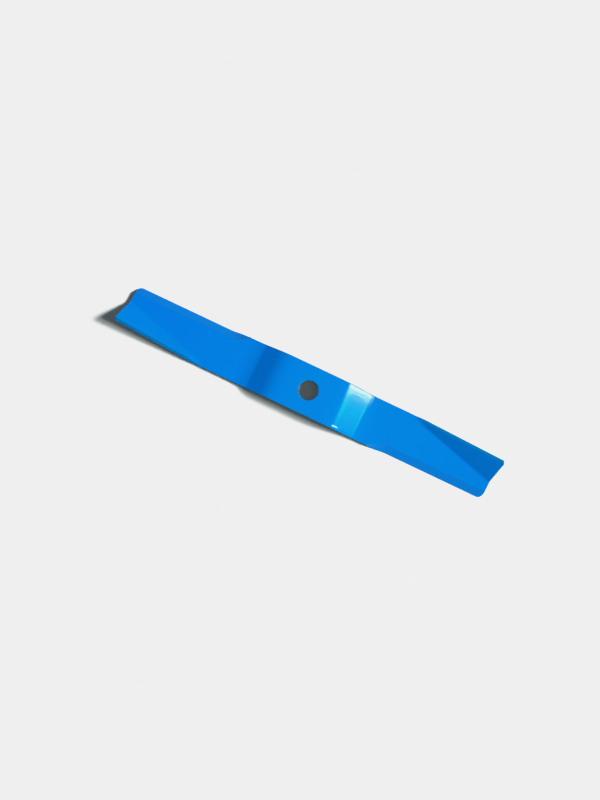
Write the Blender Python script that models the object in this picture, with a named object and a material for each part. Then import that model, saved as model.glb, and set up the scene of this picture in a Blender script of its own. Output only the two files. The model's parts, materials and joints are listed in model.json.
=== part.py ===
# One-piece rotary mower blade.
# A steel flat bar is blanked to its outline, bored, pressed and ground: the hub stands on two joggles
# above the wings, the tail corner of each wing is folded up as a lift wing, and the leading edge of
# each wing is ground to a cutting bevel. The blade looks the same after half a turn about its bore.
# X runs along the blade, Z is up, and the wings lie on the plane Z = 0. Sizes along the blade are
# from the bore axis, as they are on the finished blade.

from collections import namedtuple
from math import acos, atan2, ceil, cos, pi, radians, sin, sqrt, tan

import bmesh
import bpy
from mathutils import Matrix, Vector

MM = 0.001

# Bar and outline
BLADE_LENGTH = 500.0 * MM  # along the middle of the bar
BAR_WIDTH = 60.0 * MM
BAR_THICKNESS = 6.0 * MM
EDGE_RADIUS = 1.0 * MM
TIP_SLANT = radians(2.2)  # the tips are cut a little longer on their trailing side
LEADING_CORNER_RADIUS = 7.5 * MM
TRAILING_CORNER_RADIUS = 2.8 * MM

# Bore for the spindle
BORE_DIAMETER = 24.0 * MM

# Joggle between the hub and each wing, on the middle of the thickness
JOGGLE_DROP = 14.0 * MM
JOGGLE_ANGLE = radians(24)
JOGGLE_RADIUS = 40.0 * MM
JOGGLE_CENTRE = 58.0 * MM

# Lift wing: its fold line runs from the trailing edge to the tip, past the middle of the bar, and the
# fold comes in gently where it leaves the trailing edge
LIFT_START = 122.5 * MM
LIFT_TIP_SETBACK = 5.5 * MM
LIFT_ANGLE = radians(40)
LIFT_RADIUS = 8.0 * MM
LIFT_ENTRY = 34.0 * MM

# Leading edge: ground from above, past the rolled edge of the bar, by a wheel that lifts out
CUTTING_EDGE_SETBACK = 1.1 * MM
BEVEL_START = 96.0 * MM
BEVEL_WIDTH = 10.0 * MM
WHEEL_RADIUS = 47.0 * MM

# Facets of the round stretches
BEND_FACET = radians(5)
CORNER_FACET = radians(11.25)
BORE_FACET = radians(7.5)
ENTRY_FACETS = 6
WHEEL_FACET = radians(3)
EDGE_RESOLUTION = 1
SHARP_ANGLE = radians(20)

CLEARANCE = 5.0 * MM  # by which a cutter stands past what it cuts
WELD = 0.001 * MM

PAINT_COLOUR = (0.002, 0.235, 0.76, 1.0)
PAINT_ROUGHNESS = 0.2
PAINT_METALLIC = 0.0

# What follows from the driving sizes
HALF_LENGTH = BLADE_LENGTH / 2
HALF_WIDTH = BAR_WIDTH / 2
HALF_TURN = Matrix.Rotation(pi, 4, "Z")
UP = Vector((0, 0, 1))
JOGGLE_SLOPE = (JOGGLE_DROP - 2 * JOGGLE_RADIUS * (1 - cos(JOGGLE_ANGLE))) / sin(JOGGLE_ANGLE)
JOGGLE_RUN = 2 * JOGGLE_RADIUS * sin(JOGGLE_ANGLE) + JOGGLE_SLOPE * cos(JOGGLE_ANGLE)

# Past a crease the bar is turned by the angle, up for a positive one, about the line through start
# that is square to normal. Over the entry, along that line, the angle grows from nothing.
Crease = namedtuple("Crease", "start normal angle entry")


def facets(angle):
    return ceil(abs(angle) / BEND_FACET)


def bend_width(angle, radius):
    # across the bend on the flat blank, with the creases on the middle of the thickness
    count = facets(angle)
    return count * 2 * radius * sin(abs(angle) / (2 * count))


def bend(start, normal, angle, radius, entry=0.0):
    # the creases of a round bend, from its far side back to its start
    count = facets(angle)
    step = normal * (bend_width(angle, radius) / count)
    creases = []
    for i in reversed(range(count + 1)):
        share = 0.5 if i in (0, count) else 1.0
        creases.append(Crease(start + step * i, normal, share * angle / count, entry))
    return creases


def on_blank(x, y):
    # a point of the finished wing's outline, on the flat blank, before pressing draws the wing in
    length = 2 * bend_width(JOGGLE_ANGLE, JOGGLE_RADIUS) + JOGGLE_SLOPE
    return Vector((x + length - JOGGLE_RUN, y, 0))


def wing_creases():
    # the creases of the +X wing on the flat blank, from the tip to the hub
    fold_from = on_blank(LIFT_START, HALF_WIDTH)
    fold_to = on_blank(HALF_LENGTH, -LIFT_TIP_SETBACK)
    along = (fold_to - fold_from).normalized()
    across = UP.cross(along)
    lift_start = fold_from - across * (bend_width(LIFT_ANGLE, LIFT_RADIUS) / 2)
    lengthwise = Vector((1, 0, 0))
    shoulder = lengthwise * (JOGGLE_CENTRE - JOGGLE_RUN / 2)
    foot = shoulder + lengthwise * (bend_width(JOGGLE_ANGLE, JOGGLE_RADIUS) + JOGGLE_SLOPE)
    return (
        bend(lift_start, across, LIFT_ANGLE, LIFT_RADIUS, LIFT_ENTRY)
        + bend(foot, lengthwise, JOGGLE_ANGLE, JOGGLE_RADIUS)
        + bend(shoulder, lengthwise, -JOGGLE_ANGLE, JOGGLE_RADIUS)
    )


def arc(centre, radius, first, last, facet):
    count = ceil(abs(last - first) / facet)
    angles = (first + (last - first) * i / count for i in range(count + 1))
    return [Vector((centre[0] + radius * cos(a), centre[1] + radius * sin(a), 0)) for a in angles]


def tip_corner(side, radius):
    # the centre of a corner of the +X tip, on the leading side for -1 and the trailing side for 1
    y = side * (HALF_WIDTH - radius)
    return on_blank(HALF_LENGTH + y * tan(TIP_SLANT) - radius / cos(TIP_SLANT), y)


def wing_outline():
    # the +X half of the blank, from the leading edge round the tip to the trailing edge
    leading = tip_corner(-1, LEADING_CORNER_RADIUS)
    trailing = tip_corner(1, TRAILING_CORNER_RADIUS)
    return (
        arc(leading, LEADING_CORNER_RADIUS, -pi / 2, -TIP_SLANT, CORNER_FACET)
        + arc(trailing, TRAILING_CORNER_RADIUS, -TIP_SLANT, pi / 2, CORNER_FACET)
    )


def filled_outline(name, loops, thickness, rounding=0.0):
    # a closed plate between the loops, the later ones being holes in the first
    curve = bpy.data.curves.new(name, "CURVE")
    curve.dimensions = "2D"
    curve.fill_mode = "BOTH"
    curve.extrude = thickness / 2 - rounding
    curve.bevel_depth = rounding
    curve.bevel_resolution = EDGE_RESOLUTION
    curve.offset = -rounding
    for loop in loops:
        spline = curve.splines.new("POLY")
        spline.points.add(len(loop) - 1)
        spline.use_cyclic_u = True
        spline.use_smooth = False
        for control, point in zip(spline.points, loop):
            control.co = (point.x, point.y, 0, 1)
    guide = bpy.data.objects.new(name, curve)
    bpy.context.scene.collection.objects.link(guide)
    graph = bpy.context.evaluated_depsgraph_get()
    mesh = bpy.data.meshes.new_from_object(guide.evaluated_get(graph))
    bpy.data.objects.remove(guide)
    plate = bmesh.new()
    plate.from_mesh(mesh)
    bmesh.ops.remove_doubles(plate, verts=plate.verts, dist=WELD)
    bmesh.ops.recalc_face_normals(plate, faces=plate.faces)
    plate.to_mesh(mesh)
    plate.free()
    mesh.name = name
    return mesh


def score(plate, faces, point, normal):
    edges = {edge for face in faces for edge in face.edges}
    verts = {vert for face in faces for vert in face.verts}
    bmesh.ops.bisect_plane(
        plate, geom=[*verts, *edges, *faces], dist=WELD, plane_co=point, plane_no=normal
    )


def score_creases(plate, creases, turn):
    for crease in creases:
        score(plate, plate.faces[:], turn @ crease.start, turn @ crease.normal)


def score_entry(plate, creases, turn):
    # lines across the lift wing, where its fold comes in
    edge = [crease for crease in creases if crease.entry][-1]
    along = edge.normal.cross(UP)
    for i in range(1, ENTRY_FACETS + 1):
        lift = [face for face in plate.faces if all(past(turn @ v.co, edge) > -WELD for v in face.verts)]
        line = edge.start + along * (edge.entry * i / ENTRY_FACETS)
        score(plate, lift, turn @ line, turn @ along)


def past(point, crease):
    return (point - crease.start).dot(crease.normal)


def come_in(distance, length):
    # rises smoothly from 0 to 1 over the length
    share = min(max(distance / length, 0.0), 1.0)
    return share * share * (3 - 2 * share)


def folded(point, crease):
    # where a point of the bar goes when the bar is folded along the crease
    if past(point, crease) <= WELD:
        return point
    axis = crease.normal.cross(UP)
    arm = point - crease.start
    angle = crease.angle
    if crease.entry:
        angle *= come_in(arm.dot(axis), crease.entry)
    return crease.start + Matrix.Rotation(angle, 3, axis) @ arm


def press(mesh):
    creases = wing_creases()
    plate = bmesh.new()
    plate.from_mesh(mesh)
    for turn in (Matrix.Identity(4), HALF_TURN):
        score_creases(plate, creases, turn)
        score_entry(plate, creases, turn)
    for vertex in plate.verts:
        turn = HALF_TURN if vertex.co.x < 0 else Matrix.Identity(4)
        point = turn @ vertex.co
        for crease in creases:
            point = folded(point, crease)
        vertex.co = turn @ point + UP * (JOGGLE_DROP + BAR_THICKNESS / 2)
    plate.to_mesh(mesh)
    plate.free()


def make_blank():
    wing = wing_outline()
    outline = wing + [HALF_TURN @ point for point in wing]
    bore = arc((0, 0), BORE_DIAMETER / 2, 2 * pi, 0, BORE_FACET)[:-1]
    return filled_outline("blade", (outline, bore), BAR_THICKNESS, EDGE_RADIUS)


def make_wheel_path(collection, turn, name):
    # the space a grinding wheel sweeps: flat on the bevel, and round where the wheel lifts out
    angle = atan2(BAR_THICKNESS, BEVEL_WIDTH)
    depth = CUTTING_EDGE_SETBACK * sin(angle) + BAR_THICKNESS * cos(angle)
    lift_out = BEVEL_START + sqrt(depth * (2 * WHEEL_RADIUS - depth))
    height = depth + CLEARANCE
    swing = acos(1 - height / WHEEL_RADIUS)
    end = HALF_LENGTH + CLEARANCE
    path = arc((lift_out, WHEEL_RADIUS), WHEEL_RADIUS, -pi / 2 - swing, -pi / 2, WHEEL_FACET)
    path += [Vector((end, 0, 0)), Vector((end, height, 0))]
    width = 2 * (BEVEL_WIDTH / cos(angle) + CLEARANCE)
    cutter = bpy.data.objects.new(name, filled_outline(name, (path,), width))
    cutting_edge = Vector((0, CUTTING_EDGE_SETBACK - HALF_WIDTH, 0))
    place = Matrix.Translation(cutting_edge) @ Matrix.Rotation(pi / 2 + angle, 4, "X")
    cutter.matrix_world = turn @ place
    cutter.hide_render = True
    cutter.display_type = "WIRE"
    collection.objects.link(cutter)
    return cutter


def blue_paint():
    material = bpy.data.materials.new("blue_paint")
    material.use_nodes = True
    shader = material.node_tree.nodes["Principled BSDF"]
    shader.inputs["Base Color"].default_value = PAINT_COLOUR
    shader.inputs["Roughness"].default_value = PAINT_ROUGHNESS
    shader.inputs["Metallic"].default_value = PAINT_METALLIC
    material.diffuse_color = PAINT_COLOUR
    return material


def make_collection(name):
    collection = bpy.data.collections.new(name)
    bpy.context.scene.collection.children.link(collection)
    return collection


def make_blade(parts, cutters):
    mesh = make_blank()
    press(mesh)
    mesh.shade_smooth()
    mesh.set_sharp_from_angle(angle=SHARP_ANGLE)
    mesh.materials.append(blue_paint())
    blade = bpy.data.objects.new("blade", mesh)
    parts.objects.link(blade)
    for name, turn in (("wheel_right", Matrix.Identity(4)), ("wheel_left", HALF_TURN)):
        grind = blade.modifiers.new(name, "BOOLEAN")
        grind.operation = "DIFFERENCE"
        grind.solver = "EXACT"
        grind.object = make_wheel_path(cutters, turn, name)


def main():
    for obj in list(bpy.data.objects):
        bpy.data.objects.remove(obj)
    make_blade(make_collection("mower_blade"), make_collection("cutters"))


main()
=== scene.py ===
# Looks of the blue rotary mower blade: the fine mesh, its paint, and the studio round it.
import json
from math import atan2, ceil, cos, pi, radians, sin, sqrt, tan

import bmesh
import bpy
from mathutils import Matrix, Vector


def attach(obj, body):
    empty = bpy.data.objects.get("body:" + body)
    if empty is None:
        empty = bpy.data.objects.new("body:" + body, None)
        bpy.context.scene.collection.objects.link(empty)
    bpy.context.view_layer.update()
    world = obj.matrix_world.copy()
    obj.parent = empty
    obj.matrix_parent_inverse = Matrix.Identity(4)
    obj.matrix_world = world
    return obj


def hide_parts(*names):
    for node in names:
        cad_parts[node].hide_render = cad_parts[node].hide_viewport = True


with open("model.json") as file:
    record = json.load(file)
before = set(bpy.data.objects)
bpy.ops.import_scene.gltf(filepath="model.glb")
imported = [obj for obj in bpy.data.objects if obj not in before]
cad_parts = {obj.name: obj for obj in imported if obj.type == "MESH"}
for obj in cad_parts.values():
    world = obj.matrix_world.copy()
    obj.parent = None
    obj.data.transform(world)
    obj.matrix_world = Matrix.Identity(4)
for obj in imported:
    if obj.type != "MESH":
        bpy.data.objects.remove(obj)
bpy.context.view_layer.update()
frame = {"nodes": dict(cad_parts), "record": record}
seats = {m["name"]: Vector(m["pos_m"]) for m in frame["record"]["mounts"]}
print("frame loaded:", sorted(frame["nodes"]))

mm = 0.001
hair = 0.01 * mm    # places closer than this are one place


def deselectAll():
    if bpy.context.mode != "OBJECT":
        bpy.ops.object.mode_set(mode="OBJECT")
    bpy.ops.object.select_all(action="DESELECT")


def pick(kind, test):
    # selects in edit mode what the test says yes to: verts, edges or faces
    mesh = bpy.context.edit_object.data
    bpy.ops.mesh.select_mode(type={"verts": "VERT", "edges": "EDGE", "faces": "FACE"}[kind])
    bpy.ops.mesh.select_all(action="DESELECT")
    shape = bmesh.from_edit_mesh(mesh)
    shape.normal_update()
    for part in getattr(shape, kind):
        if test(part):
            part.select_set(True)
    shape.select_flush_mode()
    bmesh.update_edit_mesh(mesh)


def near(a, b):
    return abs(a - b) < hair


# sizes of the finished blade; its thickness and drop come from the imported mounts
blade = {
    "length": 500 * mm,
    "width": 60 * mm,
    "edgeRound": 1 * mm,          # rolled edge of the bar
    "edgeCuts": 5,
    "tipSlant": radians(2.2),     # the tips are longer on their trailing side
    "leadingCorner": 7.5 * mm,
    "trailingCorner": 2.8 * mm,
    "cornerCuts": 16,
    "bore": 24 * mm,
    "boreCuts": 48,               # round half of the bore
    "joggleStart": 24.3 * mm,
    # arcs from the hub out, angle and radius: the bends come in and go out gently,
    # and a straight slope lies between the second and the third
    "joggle": ((-5, 155 * mm), (-17.5, 48 * mm), (12.5, 25 * mm), (10, 106 * mm)),
    "liftStart": 122.5 * mm,      # where the fold leaves the trailing edge
    "liftSetback": 5.5 * mm,      # how far past the middle it reaches the tip
    "liftAngle": radians(40),
    "liftRadius": 8 * mm,
    "liftEntry": 34 * mm,         # over which the fold comes in
    "entryCuts": 12,
    "cuttingSetback": 1.1 * mm,   # the wheel grinds past the rolled edge
    "bevelStart": 92 * mm,
    "bevelWidth": 10 * mm,
    "wheelRadius": 70 * mm,
    "wheelCuts": 60,
    "groundRound": 0.2 * mm,      # paint softens the ground edges
    "groundCuts": 2,
    "groundSharp": radians(8),
    "flatNormal": 0.995,          # least upward share of a flat's normal
    "cells": (20 * mm, 12 * mm),  # along the bar and across it
    "bendStep": radians(2),
    "smoothAngle": radians(25),
}
blade["thickness"] = seats["hub_top"].z - seats["hub_under"].z
blade["drop"] = seats["hub_under"].z - seats["wing_under"].z


def joggleBends():
    # the arcs on the flat blank from the hub out, and how much pressing draws the wing in
    bends = []
    dip = fall = run = length = 0
    for angle, radius in blade["joggle"]:
        after = dip - radians(angle)
        at = blade["joggleStart"] + length
        bends.append({"at": at, "heading": 0, "angle": radians(angle), "radius": radius})
        fall += radius * abs(cos(after) - cos(dip))
        run += radius * abs(sin(after) - sin(dip))
        length += radius * abs(radians(angle))
        dip = after
    steepest = -radians(sum(angle for angle, radius in blade["joggle"] if angle < 0))
    slope = (blade["drop"] - fall) / sin(steepest)
    for bend in bends:
        if bend["angle"] > 0:
            bend["at"] += slope
    return bends, length + slope - run - slope * cos(steepest)


def blankX(x):
    # a point of the finished wing lies further out on the blank
    return x + joggleBends()[1]


def liftBend():
    # along the line from the trailing edge to the tip
    tip = blankX(blade["length"] / 2)
    foldFrom = Vector((blankX(blade["liftStart"]), blade["width"] / 2, 0))
    foldTo = Vector((tip, -blade["liftSetback"], 0))
    along = (foldTo - foldFrom).normalized()
    heading = atan2(along.x, -along.y)
    across = Vector((cos(heading), sin(heading), 0))
    at = foldFrom.dot(across) - blade["liftRadius"] * blade["liftAngle"] / 2
    bend = {"at": at, "heading": heading, "angle": blade["liftAngle"], "radius": blade["liftRadius"]}
    bend["entryAt"] = -foldFrom.dot(along)
    return bend


def makeBlank():
    half = blade["width"] / 2
    tip = blankX(blade["length"] / 2)
    boreRadius = blade["bore"] / 2

    deselectAll()
    bpy.ops.mesh.primitive_plane_add(size=2, location=(0, 0, 0))
    piece = bpy.context.object
    piece.name = piece.data.name = "painted_blade"
    bpy.ops.object.mode_set(mode="EDIT")
    bpy.ops.transform.resize(value=(tip / 2, half, 1))
    bpy.ops.transform.translate(value=(tip / 2, 0, -blade["thickness"] / 2))
    bpy.ops.mesh.delete(type="ONLY_FACE")

    # slanted tip with its two corners
    for side, radius in ((-1, blade["leadingCorner"]), (1, blade["trailingCorner"])):
        slant = side * blade["tipSlant"]
        pick("verts", lambda v: near(v.co.x, tip) and near(v.co.y, side * half))
        bpy.ops.transform.translate(value=(half * tan(slant), 0, 0))
        reach = radius * tan((pi / 2 + slant) / 2)
        bpy.ops.mesh.bevel(affect="VERTICES", offset=reach, segments=blade["cornerCuts"])

    # half of the bore
    pick("edges", lambda e: all(near(v.co.x, 0) for v in e.verts))
    bpy.ops.mesh.subdivide(number_cuts=2)
    pick("edges", lambda e: all(near(v.co.x, 0) and abs(v.co.y) < half - mm for v in e.verts))
    bpy.ops.mesh.delete(type="EDGE")
    for side in (1, -1):
        pick("verts", lambda v: near(v.co.x, 0) and 0 < side * v.co.y < half - mm)
        bpy.ops.transform.translate(value=(0, side * (boreRadius - half / 3), 0))
    pick("verts", lambda v: near(v.co.x, 0) and near(v.co.y, boreRadius))
    middle = (0, 0, -blade["thickness"] / 2)
    bpy.ops.mesh.spin(steps=blade["boreCuts"], angle=pi, center=middle, axis=(0, 0, 1))
    bpy.ops.mesh.select_all(action="SELECT")
    bpy.ops.mesh.remove_doubles(threshold=hair)

    # plate, with its edges rolled round
    bpy.ops.mesh.select_all(action="SELECT")
    bpy.ops.mesh.edge_face_add()
    bpy.ops.mesh.extrude_region_move(TRANSFORM_OT_translate={"value": (0, 0, blade["thickness"])})
    bpy.ops.mesh.select_all(action="SELECT")
    bpy.ops.mesh.normals_make_consistent(inside=False)
    pick("edges", isRim)
    bpy.ops.mesh.bevel(offset=blade["edgeRound"], segments=blade["edgeCuts"], profile=0.5)
    bpy.ops.object.mode_set(mode="OBJECT")
    print("blank:", len(piece.data.polygons), "faces")
    return piece


def isRim(edge):
    # an edge between the flat of the bar and its side, but not where the halves of the blade meet
    flats = [abs(face.normal.z) > blade["flatNormal"] for face in edge.link_faces]
    return sum(flats) == 1 and not all(near(v.co.x, 0) for v in edge.verts)


def makeWheelPath():
    # the space that the grinding wheel sweeps: flat on the bevel, round where the wheel lifts out
    angle = atan2(blade["thickness"], blade["bevelWidth"])
    inset = blade["cuttingSetback"]
    depth = inset * sin(angle) + blade["thickness"] * cos(angle)
    radius = blade["wheelRadius"]
    start = blankX(blade["bevelStart"]) + sqrt(depth * (2 * radius - depth)) - radius
    end = blankX(blade["length"] / 2) + blade["bevelWidth"]
    halfWidth, halfHeight = 1.5 * blade["bevelWidth"], 0.6 * radius    # enough to clear the bar
    deselectAll()
    bpy.ops.mesh.primitive_cube_add(size=2, location=(0, 0, 0))
    wheel = bpy.context.object
    wheel.name = "wheel_path"
    bpy.ops.object.mode_set(mode="EDIT")
    bpy.ops.transform.resize(value=((end - start) / 2, halfWidth, halfHeight))
    bpy.ops.transform.translate(value=((end + start) / 2, 0, halfHeight))
    pick("edges", lambda e: all(near(v.co.x, start) and near(v.co.z, 0) for v in e.verts))
    bpy.ops.mesh.bevel(offset=radius, segments=blade["wheelCuts"], profile=0.5)
    bpy.ops.mesh.select_all(action="SELECT")
    bpy.ops.transform.rotate(value=-angle, orient_axis="X", center_override=(0, 0, 0))
    bpy.ops.transform.translate(value=(0, inset - blade["width"] / 2, -blade["thickness"] / 2))
    bpy.ops.object.mode_set(mode="OBJECT")
    wheel.data.materials.append(bpy.data.materials.new("ground_steel"))
    return wheel


def grind(piece):
    wheel = makeWheelPath()
    piece.data.materials.append(bpy.data.materials.new("rolled_steel"))
    cut = piece.modifiers.new("grind", "BOOLEAN")
    cut.operation = "DIFFERENCE"
    cut.solver = "EXACT"
    cut.material_mode = "TRANSFER"
    cut.object = wheel
    deselectAll()
    bpy.context.view_layer.objects.active = piece
    bpy.ops.object.modifier_apply(modifier=cut.name)
    bpy.data.objects.remove(wheel)
    print("ground:", sum(f.material_index for f in piece.data.polygons), "faces on the bevel")


def softenGroundEdges(piece):
    # paint runs thin over the ground edges and leaves them a little round
    deselectAll()
    bpy.context.view_layer.objects.active = piece
    bpy.ops.object.mode_set(mode="EDIT")
    pick("edges", isGroundEdge)
    bpy.ops.mesh.bevel(offset=blade["groundRound"], segments=blade["groundCuts"], profile=0.5)
    bpy.ops.object.mode_set(mode="OBJECT")


def isGroundEdge(edge):
    sharp = edge.calc_face_angle(0) > blade["groundSharp"]
    return sharp and {face.material_index for face in edge.link_faces} == {0, 1}


def markSurfaces(piece):
    # on the flat blank it is plain which faces are the rolled edges and which the ground bevel
    mesh = piece.data
    bevel = [float(face.material_index == 1) for face in mesh.polygons]
    edge = [float(abs(face.normal.z) < blade["flatNormal"]) for face in mesh.polygons]
    rim = [e * (1 - b) for e, b in zip(edge, bevel)]
    for name, marks in (("rim", rim), ("bevel", bevel)):
        mesh.attributes.new(name, "FLOAT", "FACE").data.foreach_set("value", marks)


def cutCells(piece):
    # small cells keep the wide flats evenly shaded
    long, wide = blade["cells"]
    columns = ceil(blankX(blade["length"] / 2) / long)
    rows = int(blade["width"] / 2 / wide)
    lines = [((long * i, 0, 0), (1, 0, 0)) for i in range(1, columns)]
    lines += [((0, wide * i, 0), (0, 1, 0)) for i in range(-rows, rows + 1)]
    deselectAll()
    bpy.context.view_layer.objects.active = piece
    bpy.ops.object.mode_set(mode="EDIT")
    for point, normal in lines:
        bpy.ops.mesh.select_all(action="SELECT")
        bpy.ops.mesh.bisect(plane_co=point, plane_no=normal)
    bpy.ops.object.mode_set(mode="OBJECT")


def pressBend(piece, bend):
    # cuts a line for each step of the bend, then turns what lies past each line, outermost first
    steps = ceil(abs(bend["angle"]) / blade["bendStep"])
    strip = bend["radius"] * abs(bend["angle"]) / steps
    lines = [bend["at"] + strip * i for i in range(steps + 1)]
    shares = bendShares(bend)
    piece.rotation_euler.z = -bend["heading"]    # the bend lies along Y meanwhile
    bpy.context.view_layer.update()
    place = piece.matrix_world.copy()
    deselectAll()
    bpy.context.view_layer.objects.active = piece
    bpy.ops.object.mode_set(mode="EDIT")
    for line in lines:
        bpy.ops.mesh.select_all(action="SELECT")
        bpy.ops.mesh.bisect(plane_co=(line, 0, 0), plane_no=(1, 0, 0))
    for start, share in shares:
        pick("faces", lambda f: all((place @ v.co).x > lines[0] - hair for v in f.verts))
        bpy.ops.mesh.bisect(plane_co=(0, start, 0), plane_no=(0, 1, 0))
    for line in reversed(lines):
        turn = bend["angle"] / steps
        if line in (lines[0], lines[-1]):
            turn /= 2
        for start, share in shares:
            pick("verts", lambda v: isPast(place @ v.co, line, start))
            bpy.ops.transform.rotate(value=turn * share, orient_axis="Y", center_override=(line, 0, 0))
    bpy.ops.object.mode_set(mode="OBJECT")
    piece.rotation_euler.z = 0


def bendShares(bend):
    # where along its line a bend takes up each share of its angle: all at once, or over the entry
    if "entryAt" not in bend:
        return [(blade["length"], 1)]
    count = blade["entryCuts"]
    grown = [(i / count) ** 2 * (3 - 2 * i / count) for i in range(count + 1)]
    return [
        (bend["entryAt"] - blade["liftEntry"] * i / count, grown[i] - grown[i - 1])
        for i in range(1, count + 1)
    ]


def isPast(point, line, start):
    return point.x > line + hair and point.y < start + hair


def joinHalves(piece):
    # the other half is the same half turned about the bore
    deselectAll()
    bpy.context.view_layer.objects.active = piece
    bpy.ops.object.mode_set(mode="EDIT")
    pick("faces", lambda f: all(near(v.co.x, 0) for v in f.verts))
    bpy.ops.mesh.delete(type="ONLY_FACE")
    bpy.ops.mesh.select_all(action="SELECT")
    bpy.ops.mesh.duplicate()
    bpy.ops.transform.rotate(value=pi, orient_axis="Z", center_override=(0, 0, 0))
    bpy.ops.mesh.select_all(action="SELECT")
    bpy.ops.mesh.remove_doubles(threshold=hair)
    bpy.ops.transform.translate(value=(0, 0, blade["drop"] + blade["thickness"] / 2))
    bpy.ops.mesh.normals_make_consistent(inside=False)
    bpy.ops.object.mode_set(mode="OBJECT")


def smoothBlade(piece):
    deselectAll()
    piece.select_set(True)
    bpy.context.view_layer.objects.active = piece
    bpy.ops.object.shade_smooth_by_angle(angle=blade["smoothAngle"])
    weigh = piece.modifiers.new("flats stay flat", "WEIGHTED_NORMAL")
    weigh.keep_sharp = True
    bpy.ops.object.modifier_apply(modifier=weigh.name)


class Wire:
    # a socket of a node tree that Python's operators work on
    def __init__(self, tree, socket=None):
        self.tree = tree
        self.socket = socket

    def node(self, kind, settings=None, inputs=None, output=0):
        made = self.tree.nodes.new(kind)
        for name, value in (settings or {}).items():
            setattr(made, name, value)
        for name, value in (inputs or {}).items():
            if isinstance(value, Wire):
                self.tree.links.new(value.socket, made.inputs[name])
            else:
                made.inputs[name].default_value = value
        return Wire(self.tree, made.outputs[output])

    def math(self, operation, *values):
        return self.node("ShaderNodeMath", {"operation": operation}, dict(enumerate(values)))

    def ramp(self, low, high, curve="SMOOTHSTEP"):
        # 0 at low to 1 at high
        span = {"Value": self, "From Min": low, "From Max": high}
        return self.node("ShaderNodeMapRange", {"interpolation_type": curve}, span)

    def band(self, start, full, fall, end):
        # 1 from full to fall
        return self.ramp(start, full) * (1 - self.ramp(fall, end))

    def mix(self, share, first, second):
        # sockets 6 and 7 of a colour Mix are its colours
        return self.node("ShaderNodeMix", {"data_type": "RGBA"}, {0: share, 6: first, 7: second}, 2)

    def noise(self, place, stretch, scale, detail=2.0):
        # about -0.5 to 0.5, with the pattern drawn out by the stretch
        moved = self.node("ShaderNodeMapping", inputs={"Vector": place, "Scale": stretch})
        inputs = {"Vector": moved, "Scale": scale, "Detail": detail}
        return self.node("ShaderNodeTexNoise", inputs=inputs) - 0.5

    def __add__(self, other):
        return self.math("ADD", self, other)

    def __radd__(self, other):
        return self.math("ADD", other, self)

    def __sub__(self, other):
        return self.math("SUBTRACT", self, other)

    def __rsub__(self, other):
        return self.math("SUBTRACT", other, self)

    def __mul__(self, other):
        return self.math("MULTIPLY", self, other)

    def __rmul__(self, other):
        return self.math("MULTIPLY", other, self)


# enamel over the whole blade: relief in millimetres, and how often each pattern comes in a metre
paint = {
    "colour": (0.001, 0.245, 0.78, 1),
    "edgeShadeColour": (0.001, 0.24, 0.6, 1),        # painted shade over the rolled edges
    "bevelShare": 0.2,                             # how much of that darker blue the ground bevel takes
    "mottle": 0.05,
    "mottlePerMetre": 25.0,
    "roughness": 0.03,
    "roughnessDrift": 0.02,
    "groundRoughness": 0.3,                     # more of it over the ground bevel
    "ior": 1.5,
    "peel": 0.0006,                             # orange peel
    "peelPerMetre": 500.0,
    "streaks": 0.008,                           # drawn along the bar
    "drawMarks": 0.016,                         # and deeper on the joggle, where the tool slid
    "joggleAt": (32 * mm, 40 * mm, 70 * mm, 80 * mm),
    "streaksPerMetre": 600.0,
    "streakStretch": (0.04, 1, 0.3),
    "pressMarks": 0.014,                        # left by the tool at the foot of the joggle
    "footAt": (66 * mm, 72 * mm, 80 * mm, 88 * mm),
    "pressMarksPerMetre": 500.0,
    "pressMarkStretch": (1, 0.8, 1),
    "grinding": 0.002,
    "grindingPerMetre": 1500.0,
    "grindingStretch": (1, 0.03, 0.03),         # lines across the bevel
    "bead": 0.13,                               # paint gathered at the front edge of one joggle
    "beadX": (41 * mm, 44 * mm, 48 * mm, 58 * mm),
    "beadY": (-27.5 * mm, -24.5 * mm),
}


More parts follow.
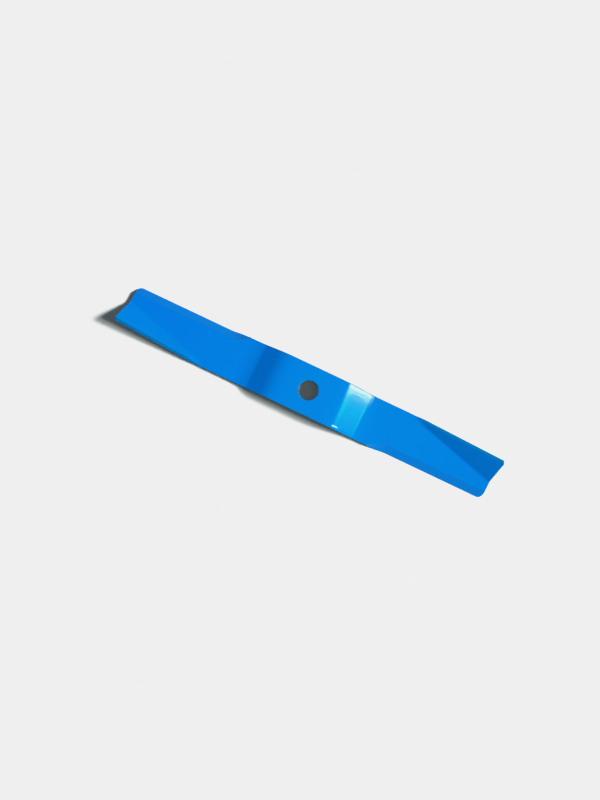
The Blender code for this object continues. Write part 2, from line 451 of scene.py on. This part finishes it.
def bluePaint():
    material = bpy.data.materials.new("blue_enamel")
    material.use_nodes = True
    tree = material.node_tree
    shader = tree.nodes["Principled BSDF"]
    wire = Wire(tree)
    place = wire.node("ShaderNodeTexCoord", output="Object")
    x = wire.node("ShaderNodeSeparateXYZ", inputs={0: place}, output="X")
    y = wire.node("ShaderNodeSeparateXYZ", inputs={0: place}, output="Y")
    rim = wire.node("ShaderNodeAttribute", {"attribute_name": "rim"}, output="Fac")
    bevel = wire.node("ShaderNodeAttribute", {"attribute_name": "bevel"}, output="Fac")
    even = (1, 1, 1)

    cloudy = wire.noise(place, even, paint["mottlePerMetre"])
    # painted shade: the rolled edges take the darker blue, the bevel takes a share of it, and the mottle
    # shifts the tone at random
    edgeShadeAndTone = rim + paint["bevelShare"] * bevel + 2 * paint["mottle"] * cloudy
    colour = wire.mix(edgeShadeAndTone, paint["colour"], paint["edgeShadeColour"])
    roughness = paint["roughness"] + paint["roughnessDrift"] * cloudy + paint["groundRoughness"] * bevel

    streaks = wire.noise(place, paint["streakStretch"], paint["streaksPerMetre"], detail=1.0)
    peel = wire.noise(place, even, paint["peelPerMetre"])
    out = x.math("ABSOLUTE", x)
    onJoggle = out.band(*paint["joggleAt"])
    atFoot = out.band(*paint["footAt"])
    marks = wire.noise(place, paint["pressMarkStretch"], paint["pressMarksPerMetre"])
    grinding = wire.noise(place, paint["grindingStretch"], paint["grindingPerMetre"]) * bevel
    bead = x.band(*paint["beadX"]) * (1 - y.ramp(*paint["beadY"]))
    height = (
        (paint["streaks"] + paint["drawMarks"] * onJoggle) * streaks
        + paint["peel"] * peel
        + paint["pressMarks"] * marks * atFoot
        + paint["grinding"] * grinding
        + paint["bead"] * bead
    )
    normal = wire.node("ShaderNodeBump", inputs={"Strength": 1, "Distance": mm, "Height": height})
    tree.links.new(colour.socket, shader.inputs["Base Color"])
    tree.links.new(roughness.socket, shader.inputs["Roughness"])
    tree.links.new(normal.socket, shader.inputs["Normal"])
    shader.inputs["IOR"].default_value = paint["ior"]
    return material


# the floor and what the picture does with light
studio = {
    "floorSize": 12.0,
    "floorAt": -0.1 * mm,
    "floorColour": (0.86, 0.86, 0.86, 1),
    "floorRoughness": 0.9,
    "backdrop": (1, 1, 1, 1),
    "ambient": (0.026, 0.042, 0.048, 1),
    "rollOff": ((0, 0), (0.74, 0.74), (1.0, 0.863)),     # of bright light in the picture
}

# lamps, each for the blade or the floor: azimuth from +X towards +Y, elevation and spread in degrees;
# one with no distance is so far away that it lights everything evenly
lamps = {
    "key": {"azimuth": 10, "elevation": 36, "spread": 18,
            "strength": 3.3, "colour": (1, 1, 0.87), "on": "blade"},
    "sky": {"azimuth": -90, "elevation": 82, "spread": 60,
            "strength": 1.34, "colour": (0.1, 0.14, 1), "on": "blade"},
    "fill": {"azimuth": 0, "elevation": 90, "spread": 36,
             "strength": 0.96, "colour": (1, 1, 0.1), "on": "blade",
             "aim": 90 * mm, "distance": 390 * mm},
    "floor_key": {"azimuth": 21, "elevation": 33, "spread": 10,
                  "strength": 4.5, "colour": (0.96, 1, 0.95), "on": "floor"},
    "floor_panel": {"azimuth": 13, "elevation": 36, "spread": 16,
                    "strength": 2.5, "colour": (0.96, 1, 0.95), "on": "floor"},
    "under": {"azimuth": -60, "elevation": -55, "spread": 60,
              "strength": 1.6, "colour": (0.9, 0.95, 1), "on": "blade"},
    "floor_top": {"azimuth": 0, "elevation": 72, "spread": 26,
                  "strength": 0.2, "colour": (0.85, 0.95, 1), "on": "floor"},
}

# what the paint mirrors: a strip light and a panel towards +X, and the pale walls past the blade's ends;
# plain numbers are shares of a direction along X, Y or Z, and angles are heights above +X
reflected = {
    "stripEdge": 0.1305,                        # along Y
    "stripFall": 170.0,                         # how fast it dims before that
    "stripFar": (0.16, 0.205),
    "stripGlow": 17.0,
    "panelFade": (0.018, 0.085),                # along Y
    "panelColour": (0.026, 1, 0.3),
    "panelGlow": 3.55,
    "top": radians(61.6),                       # of the strip and the panel
    "topSlant": radians(53),                    # how much higher it is for each unit of Y
    "topSoft": radians(9),
    "rim": (radians(42), radians(58)),          # the panel is brighter near its top
    "rimGlow": 1.0,
    "foot": (0.2, 0.4),                         # along Z
    "wallSide": (0.55, 0.8),                    # along X
    "wallTop": (0.15, 0.35),                    # along Z
    "wallGlow": 0.3,
}

view = {
    "turn": radians(25.456),      # about the vertical
    "tilt": radians(3.699),
    "lean": radians(-0.476),
    "distance": 578.022 * mm,     # from the middle of the hub's top face
    "aside": (-10.127 * mm, -11.952 * mm),
    "focalPixels": 477.542,
    "imageHeight": 800,           # in pixels, as focalPixels is
    "sensor": 36,
    "nearest": 10 * mm,
}


def makeFloor():
    deselectAll()
    bpy.ops.mesh.primitive_plane_add(size=studio["floorSize"], location=(0, 0, studio["floorAt"]))
    floor = bpy.context.object
    floor.name = "floor"
    material = bpy.data.materials.new("pale_floor")
    material.use_nodes = True
    tree = material.node_tree
    shader = tree.nodes["Principled BSDF"]
    shader.inputs["Base Color"].default_value = studio["floorColour"]
    shader.inputs["Roughness"].default_value = studio["floorRoughness"]
    shader.inputs["Specular IOR Level"].default_value = 0
    # from below the floor isn't there, so that the underside shows
    wire = Wire(tree)
    isBelow = wire.node("ShaderNodeNewGeometry", output="Backfacing")
    clear = wire.node("ShaderNodeBsdfTransparent")
    solid = Wire(tree, shader.outputs[0])
    both = wire.node("ShaderNodeMixShader", inputs={0: isBelow, 1: solid, 2: clear})
    tree.links.new(both.socket, tree.nodes["Material Output"].inputs["Surface"])
    floor.data.materials.append(material)
    return floor


def direction(azimuth, elevation):
    return Vector((cos(elevation) * cos(azimuth), cos(elevation) * sin(azimuth), sin(elevation)))


def makeLamp(name, lamp, lit):
    towards = direction(radians(lamp["azimuth"]), radians(lamp["elevation"]))
    if "distance" in lamp:
        light = bpy.data.lights.new(name, "AREA")
        light.shape = "DISK"
        light.size = 2 * lamp["distance"] * tan(radians(lamp["spread"]) / 2)
        light.energy = lamp["strength"] * pi * lamp["distance"] ** 2
    else:
        light = bpy.data.lights.new(name, "SUN")
        light.angle = radians(lamp["spread"])
        light.energy = lamp["strength"]
    light.color = lamp["colour"]
    made = bpy.data.objects.new(name, light)
    bpy.context.scene.collection.objects.link(made)
    made.location = Vector((lamp.get("aim", 0), 0, 0)) + towards * lamp.get("distance", 1)
    made.rotation_euler = towards.to_track_quat("Z", "Y").to_euler()
    made.visible_glossy = False
    made.light_linking.receiver_collection = bpy.data.collections.new("lit_by_" + name)
    made.light_linking.receiver_collection.objects.link(lit)


def makeSurroundings():
    world = bpy.data.worlds.new("studio")
    world.use_nodes = True
    bpy.context.scene.world = world
    world.cycles.sampling_method = "NONE"    # its bright parts are only for mirrored rays
    wire = Wire(world.node_tree)
    towards = wire.node("ShaderNodeTexCoord", output="Generated")
    x = wire.node("ShaderNodeSeparateXYZ", inputs={0: towards}, output="X")
    y = wire.node("ShaderNodeSeparateXYZ", inputs={0: towards}, output="Y")
    z = wire.node("ShaderNodeSeparateXYZ", inputs={0: towards}, output="Z")
    height = z.math("ARCTAN2", z, x)
    beforeStrip = y.math("MINIMUM", y - reflected["stripEdge"], 0)
    top = reflected["top"] + reflected["topSlant"] * (reflected["stripEdge"] + beforeStrip)
    window = (top - height).ramp(0, reflected["topSoft"])
    window = window * z.ramp(*reflected["foot"]) * (1 - y.ramp(*reflected["stripFar"]))
    strip = beforeStrip.math("EXPONENT", reflected["stripFall"] * beforeStrip) * reflected["stripGlow"]
    panel = reflected["panelGlow"] * y.ramp(*reflected["panelFade"], "LINEAR")
    panel = panel * (1 + reflected["rimGlow"] * height.ramp(*reflected["rim"]))
    walls = x.math("ABSOLUTE", x).ramp(*reflected["wallSide"]) * (1 - z.ramp(*reflected["wallTop"]))
    walls = reflected["wallGlow"] * walls
    shades = [window * (strip + tint * panel) + walls for tint in reflected["panelColour"]]
    mirrored = wire.node("ShaderNodeCombineColor", inputs=dict(zip(("Red", "Green", "Blue"), shades)))
    isGlossy = wire.node("ShaderNodeLightPath", output="Is Glossy Ray")
    isCamera = wire.node("ShaderNodeLightPath", output="Is Camera Ray")
    plain = wire.mix(isCamera, studio["ambient"], studio["backdrop"])
    seen = wire.mix(isGlossy, plain, mirrored)
    world.node_tree.links.new(seen.socket, world.node_tree.nodes["Background"].inputs["Color"])


def makeStudio(piece):
    floor = makeFloor()
    floor.visible_glossy = False     # the paint mirrors only the surroundings
    floor.visible_shadow = False     # or the lamp below it couldn't light the underside
    piece.visible_diffuse = False    # keeps blue light off the floor
    lit = {"blade": piece, "floor": floor}
    for name, lamp in lamps.items():
        makeLamp(name, lamp, lit[lamp["on"]])
    makeSurroundings()
    picture = bpy.context.scene.view_settings
    picture.view_transform = "Standard"
    picture.use_curve_mapping = True
    points = picture.curve_mapping.curves[3].points
    points[0].location, points[1].location = studio["rollOff"][0], studio["rollOff"][-1]
    for place in studio["rollOff"][1:-1]:
        points.new(*place)
    for point in points:
        point.handle_type = "VECTOR"
    picture.curve_mapping.extend = "HORIZONTAL"
    picture.curve_mapping.update()


def makeCamera():
    camera = bpy.data.cameras.new("camera")
    camera.sensor_width = view["sensor"]
    camera.lens = view["focalPixels"] / view["imageHeight"] * view["sensor"]
    camera.clip_start = view["nearest"]
    made = bpy.data.objects.new("camera", camera)
    bpy.context.scene.collection.objects.link(made)
    turned = (
        Matrix.Rotation(view["turn"], 4, "Z")
        @ Matrix.Rotation(view["tilt"], 4, "X")
        @ Matrix.Rotation(view["lean"], 4, "Y")
    )
    hub = Vector((0, 0, seats["hub_top"].z))
    away = Matrix.Translation((*view["aside"], view["distance"]))
    made.matrix_world = Matrix.Translation(hub) @ turned @ away
    bpy.context.scene.camera = made


piece = makeBlank()
grind(piece)
softenGroundEdges(piece)
markSurfaces(piece)
cutCells(piece)
for bend in (liftBend(), *reversed(joggleBends()[0])):
    pressBend(piece, bend)
joinHalves(piece)
smoothBlade(piece)
print("pressed:", len(piece.data.polygons), "faces")
piece.data.materials.clear()
piece.data.materials.append(bluePaint())
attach(piece, "root")
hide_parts("blade")
makeStudio(piece)
makeCamera()
print("studio:", len(lamps), "lamps")
